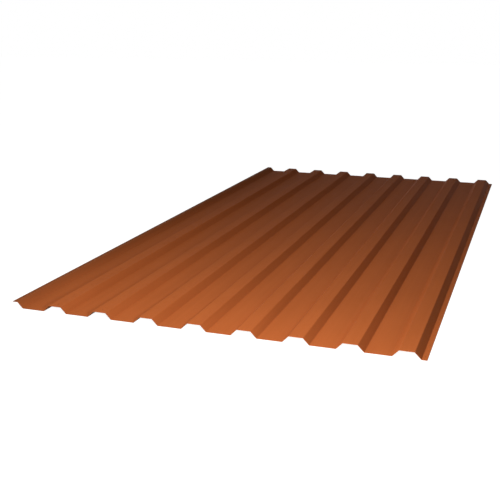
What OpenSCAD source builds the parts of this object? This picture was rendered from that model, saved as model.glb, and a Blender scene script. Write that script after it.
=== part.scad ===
// Trapezoidal roofing and cladding sheet: one thin strip of plastic, folded into straight ribs.
// The ribs run along Y. The sheet lies flat on its valleys, as it does on a floor or a purlin.
// Origin: centre of the footprint, with z = 0 at the underside of the valleys.
// All widths are between bend lines, which lie half-way through the thickness.

/* [Sheet] */
// Length along the ribs
sheet_length = 2300; // [500:10:6000]
// Thickness of the strip, the same everywhere
thickness = 1; // [0.5:0.1:2]

/* [Ribs] */
// Number of whole ribs
rib_count = 8; // [2:1:12]
// Distance from one rib to the next
rib_pitch = 137.5; // [115:0.5:200]
// Overall height, from the underside of the valleys to the top of the ribs
rib_height = 18; // [10:0.5:30]
// Width of the flat top of a rib
crest_width = 37.5; // [20:0.5:50]
// Level run of each sloping side of a rib
web_run = 16.5; // [10:0.5:22]
// Radius on the inside of every bend
bend_radius = 2; // [0.5:0.25:3]

/* [Side laps] */
// Part of a rib top, on the left edge, that covers the last rib of the neighbouring sheet
lap_flat = 16; // [8:0.5:20]
// Foot at valley level, on the right edge, that goes under the neighbouring sheet
foot_flat = 14; // [8:0.5:30]

/* [Hidden] */

// Straight pieces that stand for one round bend
bend_steps = 6;

cover_width = rib_count * rib_pitch;
overall_width = lap_flat + cover_width + web_run + foot_flat;
bend_line_radius = bend_radius + thickness / 2;
valley_level = thickness / 2;
crest_level = rib_height - thickness / 2;

// Across the sheet, the right-hand bend line of each rib top. Number 0 is the lap's.
function crest_end(rib) = lap_flat + rib * rib_pitch;

// The two bend lines where the strip rises onto a rib, and the two where it comes down.
function rise(rib) = [
    [crest_end(rib) - crest_width - web_run, valley_level],
    [crest_end(rib) - crest_width, crest_level]
];
function fall(rib) = [
    [crest_end(rib), crest_level],
    [crest_end(rib) + web_run, valley_level]
];

// Every bend line from left to right, between the two free edges.
bend_lines = concat(
    [[0, crest_level]],
    fall(0),
    [for (rib = [1 : rib_count]) each concat(rise(rib), fall(rib))],
    [[overall_width, valley_level]]
);
last_point = len(bend_lines) - 1;

// Direction of travel, in degrees, from one point to another.
function heading(from, to) = atan2(to[1] - from[1], to[0] - from[0]);

// Unit vector square to a heading, on its upper side.
function up_from(angle) = [-sin(angle), cos(angle)];

// One round bend of the strip's face that lies this far above its middle.
// A bend that turns upward has its centre above the strip, and one that turns downward below it.
function bend(before, corner, after, above) =
    let (
        angle_in = heading(before, corner),
        angle_out = heading(corner, after),
        side = sign(angle_out - angle_in),
        half_turn = (angle_out - angle_in) / 2,
        centre = corner + side * bend_line_radius / cos(half_turn) * up_from(angle_in + half_turn)
    )
    [for (step = [0 : bend_steps])
        centre + (above - side * bend_line_radius)
            * up_from(angle_in + 2 * half_turn * step / bend_steps)];

// The strip's whole face at a distance above its middle, from left to right.
function face(above) = concat(
    [bend_lines[0] + above * up_from(0)],
    [for (i = [1 : last_point - 1])
        each bend(bend_lines[i - 1], bend_lines[i], bend_lines[i + 1], above)],
    [bend_lines[last_point] + above * up_from(0)]
);

function reversed(points) = [for (i = [len(points) - 1 : -1 : 0]) points[i]];

// The sheet's section, drawn in the XY plane with the height along Y.
module section() {
    translate([-overall_width / 2, 0])
        polygon(concat(face(-thickness / 2), reversed(face(thickness / 2))));
}

module sheet() {
    color("#b8602f")
        rotate([90, 0, 0])
            linear_extrude(height = sheet_length, center = true)
                section();
}

sheet();
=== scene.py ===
"""Looks of the trapezoidal plastic sheet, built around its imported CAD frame. Lengths are in metres."""
import math

import bmesh
import bpy
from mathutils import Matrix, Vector, noise


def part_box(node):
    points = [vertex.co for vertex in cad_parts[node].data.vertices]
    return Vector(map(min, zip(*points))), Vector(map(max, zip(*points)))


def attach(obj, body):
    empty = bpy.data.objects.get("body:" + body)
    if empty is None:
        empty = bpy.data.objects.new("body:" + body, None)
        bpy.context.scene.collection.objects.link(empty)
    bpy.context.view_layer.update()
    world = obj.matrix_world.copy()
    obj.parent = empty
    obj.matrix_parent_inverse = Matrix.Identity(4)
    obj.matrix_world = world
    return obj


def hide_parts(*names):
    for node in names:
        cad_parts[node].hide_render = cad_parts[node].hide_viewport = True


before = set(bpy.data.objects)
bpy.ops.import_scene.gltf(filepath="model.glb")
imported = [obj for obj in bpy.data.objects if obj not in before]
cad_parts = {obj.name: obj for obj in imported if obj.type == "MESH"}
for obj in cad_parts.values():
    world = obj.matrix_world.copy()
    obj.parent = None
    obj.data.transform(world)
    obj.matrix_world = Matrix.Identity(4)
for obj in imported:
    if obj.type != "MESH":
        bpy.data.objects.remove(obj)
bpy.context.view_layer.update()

# Camera: beyond the front end and a little to the right, looking slightly down
VIEW_AZIMUTH = 19.28
VIEW_DOWN = 15.56
VIEW_DISTANCE = 2.910
AIM = Vector((-0.1446, -0.3666, 0.0))
LENS = 60.06
SENSOR = 36.0

# Lamps: place, aimed at, diameter and watts
KEY = (Vector((-0.4, -1.7, 1.6)), Vector((0.8, -1.1, 0.0)), 0.5, 27.9)
LOW = (Vector((0.43, -1.8, 0.37)), Vector((-0.1, -0.4, 0.0)), 0.1, 6.3)
AMBIENT = 0.048
WHITE = 1.0
# The rays that meet the white background. All others meet the plain light.
SEEING_RAYS = ("Is Camera Ray", "Is Glossy Ray", "Is Transmission Ray")

# The floor
FLOOR_COLOUR = (0.3, 0.3, 0.3)
FLOOR_HALF = 12.0
FLOOR_DROP = 0.0005
FLOOR_GLOW = 0.99

# The sheet's mesh
WELD = 1e-6
CHAMFER = 0.00012
# Edges sharper than this, in degrees, stay sharp
SHARP = 30
# Flats are cut this often across and along, with one cut more just beside each bend
COLUMN = 0.009
ROW = 0.05
HOLD = 0.0006
LEAST_FLAT = 0.006
# The most that a level flat sags, and how often the sag changes across and along, per metre
SAG = 0.0002
SAG_ACROSS = 6.0
SAG_ALONG = 2.3

# The map: where the unrolled top and underside lie on it, and beside them the cut edges.
# Each pair of edges has the place of its first, the place of its second, and their breadth.
MAP_WIDTH = 0.48
MAP_TOP = 0.01
MAP_UNDERSIDE = 0.51
MAP_FRONT = 0.015
MAP_LENGTH = 0.97
SIDE_EDGES = (0.001, 0.993, 0.006)
END_EDGES = (0.001, 0.991, 0.008)

# The sheet's plastic
PIGMENT_DEEP = (0.410, 0.1030, 0.0263)
PIGMENT_PALE = (0.471, 0.1213, 0.0322)
CUT_EDGE = (0.54, 0.155, 0.042)
# Painted shade inside the bends and at the lap's free edge, and how far each reaches before it fades
PAINTED_BEND_SHADE = (0.955, 0.95, 0.95)
PAINTED_BEND_SHADE_REACH = 0.012
BEND_BAND = 0.001
PAINTED_LAP_SHADE = (0.50, 0.60, 0.80)
PAINTED_LAP_SHADE_REACH = 0.028
SPECULAR = 0.0027
ROUGH_LEAST = 0.42
ROUGH_MOST = 0.52


def make_camera():
    """The camera looks at AIM from the front right, and stands upright."""
    turn, down = math.radians(VIEW_AZIMUTH), math.radians(VIEW_DOWN)
    look = Vector((-math.sin(turn) * math.cos(down), math.cos(turn) * math.cos(down), -math.sin(down)))
    data = bpy.data.cameras.new("camera")
    data.lens, data.sensor_width = LENS, SENSOR
    camera = bpy.data.objects.new("camera", data)
    camera.location = AIM - VIEW_DISTANCE * look
    camera.rotation_euler = look.to_track_quat("-Z", "Y").to_euler()
    bpy.context.scene.collection.objects.link(camera)
    bpy.context.scene.camera = camera


def end_outline(node):
    """The CAD sheet's front end, as (x, z) from left to right: its underside's corners and its top's."""
    bm = bmesh.new()
    bm.from_mesh(node.data)
    bmesh.ops.remove_doubles(bm, verts=bm.verts, dist=WELD)
    front = min(v.co.y for v in bm.verts) + WELD
    beside = {}
    for edge in bm.edges:
        on_end = all(v.co.y < front for v in edge.verts)
        on_side = any(v.co.y > front for face in edge.link_faces for v in face.verts)
        if on_end and on_side:
            for v, other in (edge.verts, reversed(edge.verts)):
                beside.setdefault(v, []).append(other)
    start = min(beside, key=lambda v: (round(v.co.x, 6), v.co.z))
    before, here = max(beside[start], key=lambda v: v.co.z), start
    outline = []
    while here is not start or not outline:
        outline.append(Vector((here.co.x, here.co.z)))
        before, here = here, next(v for v in beside[here] if v is not before)
    bm.free()
    half = len(outline) // 2
    return outline[:half], outline[:half - 1:-1]


def stations(bottom, top):
    """Places across the sheet, from left to right. Each is the distance along the strip, the strip's
    middle, half its thickness as a vector, and how it may sag here: 1 up, -1 down, 0 not at all."""
    found = []
    along = 0.0
    mid_height = (bottom[0].y + top[0].y + bottom[-1].y + top[-1].y) / 4
    for i in range(len(bottom) - 1):
        ends = [((b + t) / 2, (t - b) / 2) for b, t in zip(bottom[i:i + 2], top[i:i + 2])]
        (middle, half), (next_middle, next_half) = ends
        span = (next_middle - middle).length
        is_flat = span > LEAST_FLAT
        is_level = abs(next_middle.y - middle.y) < WELD
        inward = -math.copysign(1.0, middle.y - mid_height)
        cuts = [0.0]
        if is_flat:
            inner = max(1, round((span - 2 * HOLD) / COLUMN))
            cuts += [(HOLD + (span - 2 * HOLD) * k / inner) / span for k in range(inner + 1)]
        for cut in cuts:
            sag = inward * math.sin(math.pi * cut) ** 2 if is_flat and is_level else 0.0
            found.append((along + cut * span, middle.lerp(next_middle, cut), half.lerp(next_half, cut), sag))
        along += span
    found.append((along, (bottom[-1] + top[-1]) / 2, (top[-1] - bottom[-1]) / 2, 0.0))
    first, last = found[0], found[-1]
    found.insert(1, (CHAMFER, first[1] + Vector((CHAMFER, 0)), first[2], 0.0))
    found.insert(-1, (along - CHAMFER, last[1] - Vector((CHAMFER, 0)), last[2], 0.0))
    return found


def nearness_to_bends(columns, height):
    """For each place across the sheet, how near it is to a bend at this height: 1 at it, 0 far away."""
    inner = columns[2:-2]
    bends = [along for along, middle, half, sag in inner if abs(middle.y - height) < BEND_BAND and not sag]
    return [math.exp(-min(abs(along - bend) for bend in bends) / PAINTED_BEND_SHADE_REACH) for along, *rest in columns]


def row_places(low, high):
    """Places along the sheet, from the front end to the back end."""
    count = round((high - low) / ROW)
    inner = [low + (high - low) * i / count for i in range(1, count)]
    return [low, low + CHAMFER] + inner + [high - CHAMFER, high]


def surface_points(columns, rows):
    """The sheet's points, row by row: at each place across, one on the underside and one on the top."""
    points = []
    for r, y in enumerate(rows):
        for c, (along, middle, half, sag) in enumerate(columns):
            at_edge = r in (0, len(rows) - 1) or c in (0, len(columns) - 1)
            thick = half * (1 - CHAMFER / half.length) if at_edge else half
            wave = 0.5 + 0.5 * noise.noise(Vector((along * SAG_ACROSS, y * SAG_ALONG, 0)))
            drop = Vector((0, SAG * sag * wave))
            for place in (middle - thick + drop, middle + thick + drop):
                points.append((place.x, y, place.y))
    return points


def surface_faces(columns, rows):
    """The sheet's faces. Each is its points, their places on the map, and whether it is a cut edge."""
    count, last_row, last_column = len(columns), len(rows) - 1, len(columns) - 1
    width, low, length = columns[-1][0], rows[0], rows[-1] - rows[0]

    def point(r, c, side):
        return (r * count + c) * 2 + side

    def map_x(c, left):
        return left + MAP_WIDTH * columns[c][0] / width

    def map_y(r):
        return MAP_FRONT + MAP_LENGTH * (rows[r] - low) / length

    faces = []
    for r in range(last_row):
        for c in range(last_column):
            ring = [(r, c), (r, c + 1), (r + 1, c + 1), (r + 1, c)]
            is_chamfer = r in (0, last_row - 1) or c in (0, last_column - 1)
            for corners, side, left in ((ring, 1, MAP_TOP), (ring[::-1], 0, MAP_UNDERSIDE)):
                spots = [(map_x(c, left), map_y(r)) for r, c in corners]
                faces.append(([point(r, c, side) for r, c in corners], spots, is_chamfer))
        for c, spot in zip((0, last_column), SIDE_EDGES):
            ring = [(r, 0), (r, 1), (r + 1, 1), (r + 1, 0)]
            corners = ring[::-1] if c else ring
            spots = [(spot + SIDE_EDGES[2] * side, map_y(r)) for r, side in corners]
            faces.append(([point(r, c, side) for r, side in corners], spots, True))
    for r, spot in zip((0, last_row), END_EDGES):
        for c in range(last_column):
            ring = [(c, 0), (c + 1, 0), (c + 1, 1), (c, 1)]
            corners = ring[::-1] if r else ring
            spots = [(map_x(c, MAP_TOP), spot + END_EDGES[2] * side) for c, side in corners]
            faces.append(([point(r, c, side) for c, side in corners], spots, True))
    return faces


def make_sheet(node, material):
    """A finer sheet over the CAD one: the same section, with smooth bends, flats that sag a little
    and chamfered cut edges. It has a map on which the strip is unrolled, its top beside its underside."""
    low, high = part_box(node.name)
    columns = stations(*end_outline(node))
    rows = row_places(low.y, high.y)
    faces = surface_faces(columns, rows)
    mesh = bpy.data.meshes.new("sheet_surface")
    mesh.from_pydata(surface_points(columns, rows), [], [ring for ring, spots, is_cut in faces])

    layer = mesh.uv_layers.new(name="OFBake")
    all_spots = [spot for ring, spots, is_cut in faces for spot in spots]
    layer.uv.foreach_set("vector", [number for spot in all_spots for number in spot])
    cuts = mesh.attributes.new("cut", "FLOAT", "FACE")
    cuts.data.foreach_set("value", [float(is_cut) for ring, spots, is_cut in faces])

    # Painted shade: only the inside of a bend is darker, at valley level on the top, at rib level on the
    # underside
    heights = [middle.y for along, middle, half, sag in columns]
    underside, top = nearness_to_bends(columns, max(heights)), nearness_to_bends(columns, min(heights))
    bends = mesh.attributes.new("bend", "FLOAT", "POINT")
    bends.data.foreach_set("value", [near for pair in zip(underside, top) for near in pair] * len(rows))
    # Painted shade on the top, darkest at the lap's free edge and fading away from it
    lap = mesh.attributes.new("lap", "FLOAT", "POINT")
    faded = [side * math.exp(-along / PAINTED_LAP_SHADE_REACH) for along, *rest in columns for side in (0, 1)]
    lap.data.foreach_set("value", faded * len(rows))

    mesh.shade_smooth()
    mesh.set_sharp_from_angle(angle=math.radians(SHARP))
    mesh.materials.append(material)
    sheet = bpy.data.objects.new("sheet_surface", mesh)
    bpy.context.scene.collection.objects.link(sheet)
    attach(sheet, "root")
    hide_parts(node.name)


def node_of(tree, kind, **inputs):
    """A new shader node with these numbers on its sockets."""
    made = tree.nodes.new(kind)
    for name, value in inputs.items():
        made.inputs[name.replace("_", " ")].default_value = value
    return made


def pattern(tree, where, scale, detail):
    """A noise from 0 to 1, with this many waves to a metre along X, Y and Z."""
    mapping = node_of(tree, "ShaderNodeMapping", Scale=scale)
    tree.links.new(where, mapping.inputs["Vector"])
    made = node_of(tree, "ShaderNodeTexNoise", Scale=1.0, Detail=detail, Roughness=0.55)
    tree.links.new(mapping.outputs["Vector"], made.inputs["Vector"])
    return made.outputs["Fac"]


def weighted(tree, parts):
    """The sum of several outputs, each times its weight."""
    total = None
    for output, weight in parts:
        step = tree.nodes.new("ShaderNodeMath")
        step.operation = "MULTIPLY_ADD"
        tree.links.new(output, step.inputs[0])
        step.inputs[1].default_value = weight
        if total:
            tree.links.new(total, step.inputs[2])
        else:
            step.inputs[2].default_value = 0.0
        total = step.outputs[0]
    return total


def spread(tree, value, **ends):
    """A value moved from one range to another. Ends that aren't given are 0 and 1."""
    made = node_of(tree, "ShaderNodeMapRange", **ends)
    tree.links.new(value, made.inputs["Value"])
    return made.outputs["Result"]


def named(tree, name):
    """A number that the mesh carries under this name."""
    made = tree.nodes.new("ShaderNodeAttribute")
    made.attribute_name = name
    return made.outputs["Fac"]


def mixed(tree, factor, first, second, how="MIX"):
    """A colour between two, each a colour or an output."""
    mix = tree.nodes.new("ShaderNodeMix")
    mix.data_type = "RGBA"
    mix.blend_type = how
    tree.links.new(factor, mix.inputs["Factor"])
    for socket, colour in ((mix.inputs[6], first), (mix.inputs[7], second)):
        if isinstance(colour, tuple):
            socket.default_value = (*colour, 1)
        else:
            tree.links.new(colour, socket)
    return mix.outputs[2]


def sheet_material():
    """Satin plastic, coloured through: soft mottle, streaks along the ribs and fine drawn lines, with
    painted shade inside the bends and along the lap's free edge.
    """
    m = bpy.data.materials.new("sheet_plastic")
    m.use_nodes = True
    tree = m.node_tree
    shader = tree.nodes["Principled BSDF"]
    where = tree.nodes.new("ShaderNodeTexCoord").outputs["Object"]
    mottle = pattern(tree, where, (9, 4, 9), 3)
    streaks = pattern(tree, where, (70, 0.8, 70), 4)
    grain = pattern(tree, where, (900, 350, 900), 2)
    drawn = pattern(tree, where, (1600, 6, 1600), 2)

    shade = weighted(tree, ((mottle, 0.45), (streaks, 0.4), (grain, 0.15)))
    colour = mixed(tree, spread(tree, shade, From_Min=0.3, From_Max=0.7), PIGMENT_DEEP, PIGMENT_PALE)
    # Painted shade inside the bends
    colour = mixed(tree, named(tree, "bend"), colour, PAINTED_BEND_SHADE, "MULTIPLY")
    # Painted shade along the lap's free edge
    colour = mixed(tree, named(tree, "lap"), colour, PAINTED_LAP_SHADE, "MULTIPLY")
    colour = mixed(tree, named(tree, "cut"), colour, CUT_EDGE)
    tree.links.new(colour, shader.inputs["Base Color"])

    dull = weighted(tree, ((mottle, 0.5), (streaks, 0.5)))
    tree.links.new(spread(tree, dull, To_Min=ROUGH_LEAST, To_Max=ROUGH_MOST), shader.inputs["Roughness"])
    shader.inputs["Specular IOR Level"].default_value = SPECULAR

    bump = node_of(tree, "ShaderNodeBump", Strength=0.25, Distance=0.00005)
    tree.links.new(weighted(tree, ((grain, 0.6), (drawn, 0.4))), bump.inputs["Height"])
    tree.links.new(bump.outputs["Normal"], shader.inputs["Normal"])
    return m


def area_lamp(name, place, aim, size, power):
    data = bpy.data.lights.new(name, "AREA")
    data.shape = "DISK"
    data.size = size
    data.energy = power
    lamp = bpy.data.objects.new(name, data)
    lamp.location = place
    lamp.rotation_euler = (aim - place).to_track_quat("-Z", "Y").to_euler()
    lamp.visible_camera = False
    bpy.context.scene.collection.objects.link(lamp)


def seen(tree):
    """1 on the rays that meet the white background, and 0 on the rays that gather light."""
    ray = tree.nodes.new("ShaderNodeLightPath")
    total = ray.outputs[SEEING_RAYS[0]]
    for kind in SEEING_RAYS[1:]:
        either = tree.nodes.new("ShaderNodeMath")
        either.operation = "MAXIMUM"
        tree.links.new(total, either.inputs[0])
        tree.links.new(ray.outputs[kind], either.inputs[1])
        total = either.outputs[0]
    return total


def floor_material():
    """Pale, and white where it is seen, but for the object's shadow."""
    m = bpy.data.materials.new("floor")
    m.use_nodes = True
    tree = m.node_tree
    tree.nodes.clear()
    diffuse = node_of(tree, "ShaderNodeBsdfDiffuse", Color=(*FLOOR_COLOUR, 1))
    glow = node_of(tree, "ShaderNodeEmission", Strength=FLOOR_GLOW)
    seen_glow = tree.nodes.new("ShaderNodeMixShader")
    tree.links.new(seen(tree), seen_glow.inputs[0])
    tree.links.new(glow.outputs[0], seen_glow.inputs[2])
    add = tree.nodes.new("ShaderNodeAddShader")
    tree.links.new(diffuse.outputs[0], add.inputs[0])
    tree.links.new(seen_glow.outputs[0], add.inputs[1])
    out = tree.nodes.new("ShaderNodeOutputMaterial")
    tree.links.new(add.outputs[0], out.inputs["Surface"])
    return m


def make_floor():
    s = FLOOR_HALF
    mesh = bpy.data.meshes.new("floor")
    mesh.from_pydata([(-s, -s, 0), (s, -s, 0), (s, s, 0), (-s, s, 0)], [], [(0, 1, 2, 3)])
    mesh.materials.append(floor_material())
    floor = bpy.data.objects.new("floor", mesh)
    floor.location.z = -FLOOR_DROP
    bpy.context.scene.collection.objects.link(floor)


def make_world():
    """Even light at AMBIENT, and white where it is seen."""
    world = bpy.data.worlds.new("world")
    bpy.context.scene.world = world
    world.use_nodes = True
    tree = world.node_tree
    back = tree.nodes["Background"]
    back.inputs["Color"].default_value = (1, 1, 1, 1)
    mix = node_of(tree, "ShaderNodeMix", A=AMBIENT, B=WHITE)
    tree.links.new(seen(tree), mix.inputs["Factor"])
    tree.links.new(mix.outputs["Result"], back.inputs["Strength"])


make_camera()
make_sheet(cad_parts["sheet"], sheet_material())
area_lamp("key", *KEY)
area_lamp("low", *LOW)
make_floor()
make_world()
bpy.context.scene.view_settings.view_transform = "Standard"

bpy.context.view_layer.update()
